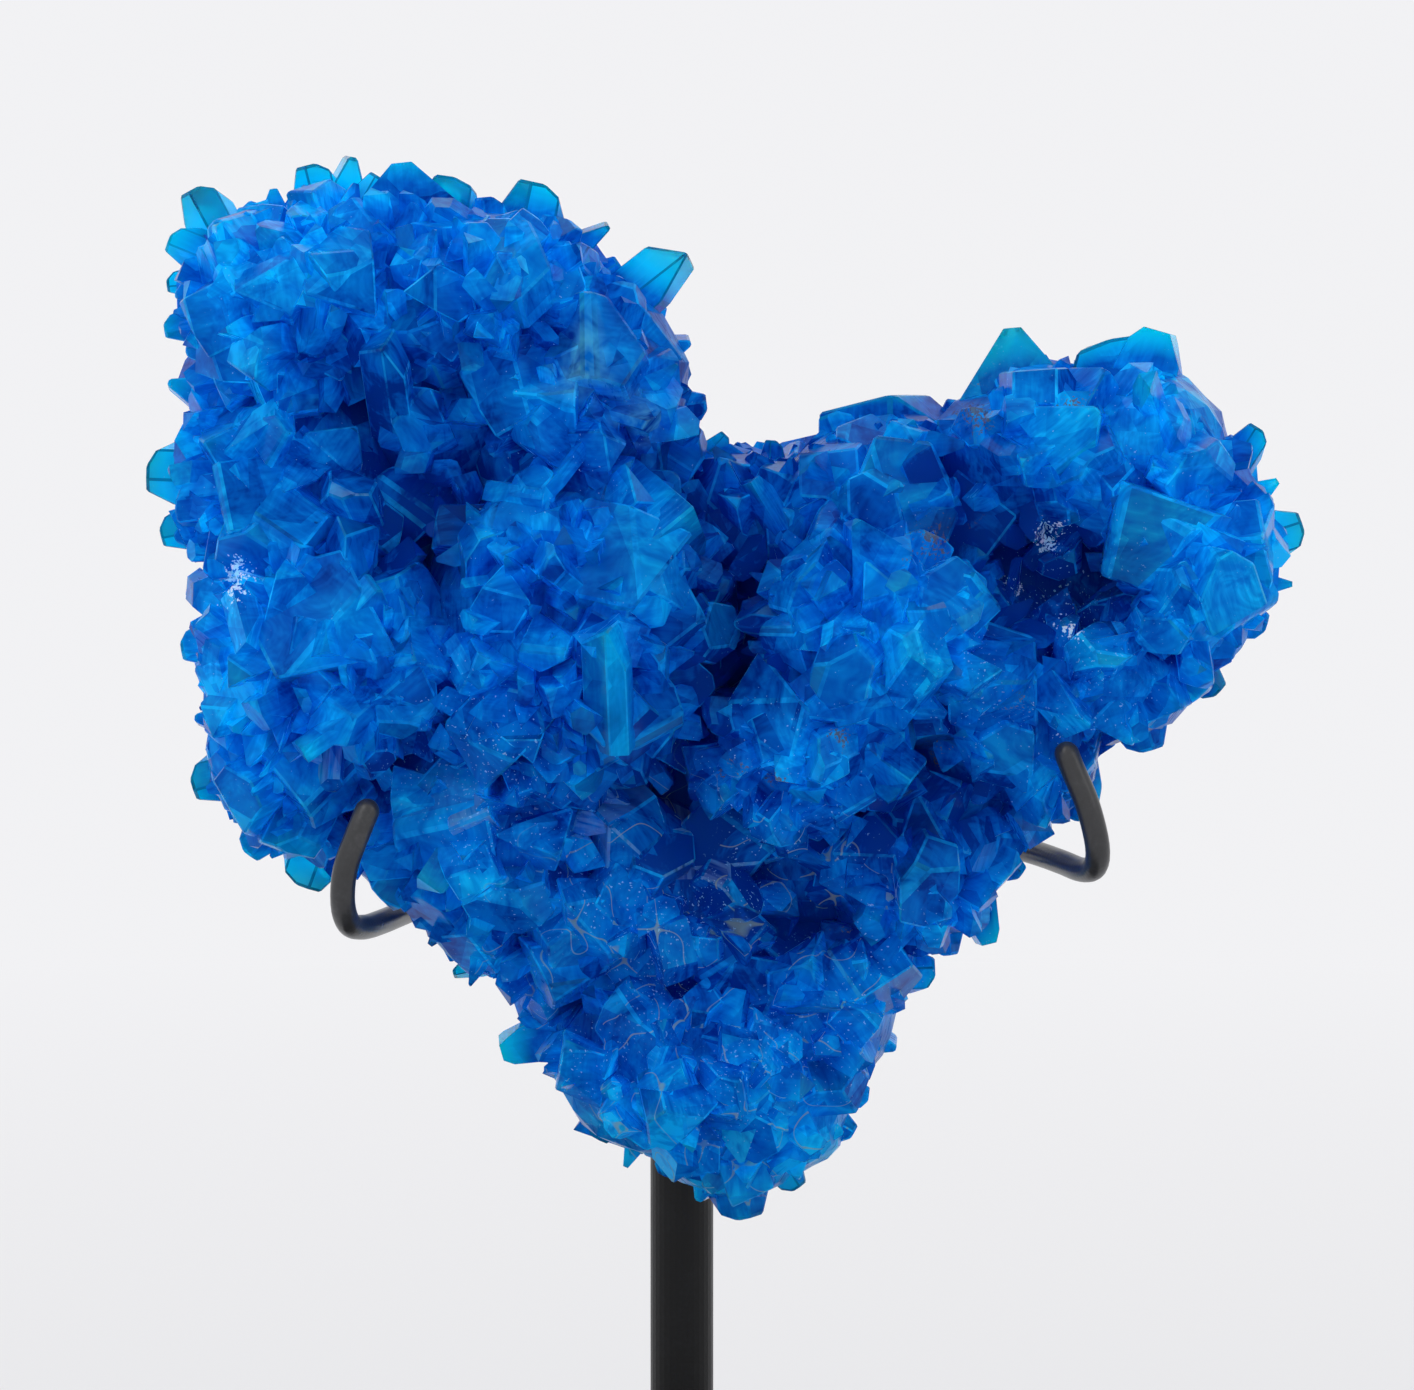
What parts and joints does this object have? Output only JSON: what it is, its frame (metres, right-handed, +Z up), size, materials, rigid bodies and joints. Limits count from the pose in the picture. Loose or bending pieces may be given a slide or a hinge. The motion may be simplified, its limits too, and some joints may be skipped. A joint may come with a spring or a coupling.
{
  "type": "chalcanthite crystal cluster on a wire stand",
  "caption": "Heart-shaped cluster of blue chalcanthite crystals, held upright by bent wire arms on a black post and base plate.",
  "frame": {"origin": "centre of the base plate's underside", "axes": "+Z up along the post, +X to the right of someone who faces the specimen's front, -Y towards that person"},
  "size_m": [0.1155, 0.084, 0.1541],
  "materials": {
    "crystal": "glassy crystal faces, see-through at thin edges, milky blue in the mass",
    "black_paint": "satin black paint on steel"
  },
  "bodies": {
    "root": {"crystal_cluster": "crystal", "post": "black_paint", "left_arm": "black_paint", "right_arm": "black_paint", "base": "black_paint"}
  },
  "joints": []
}
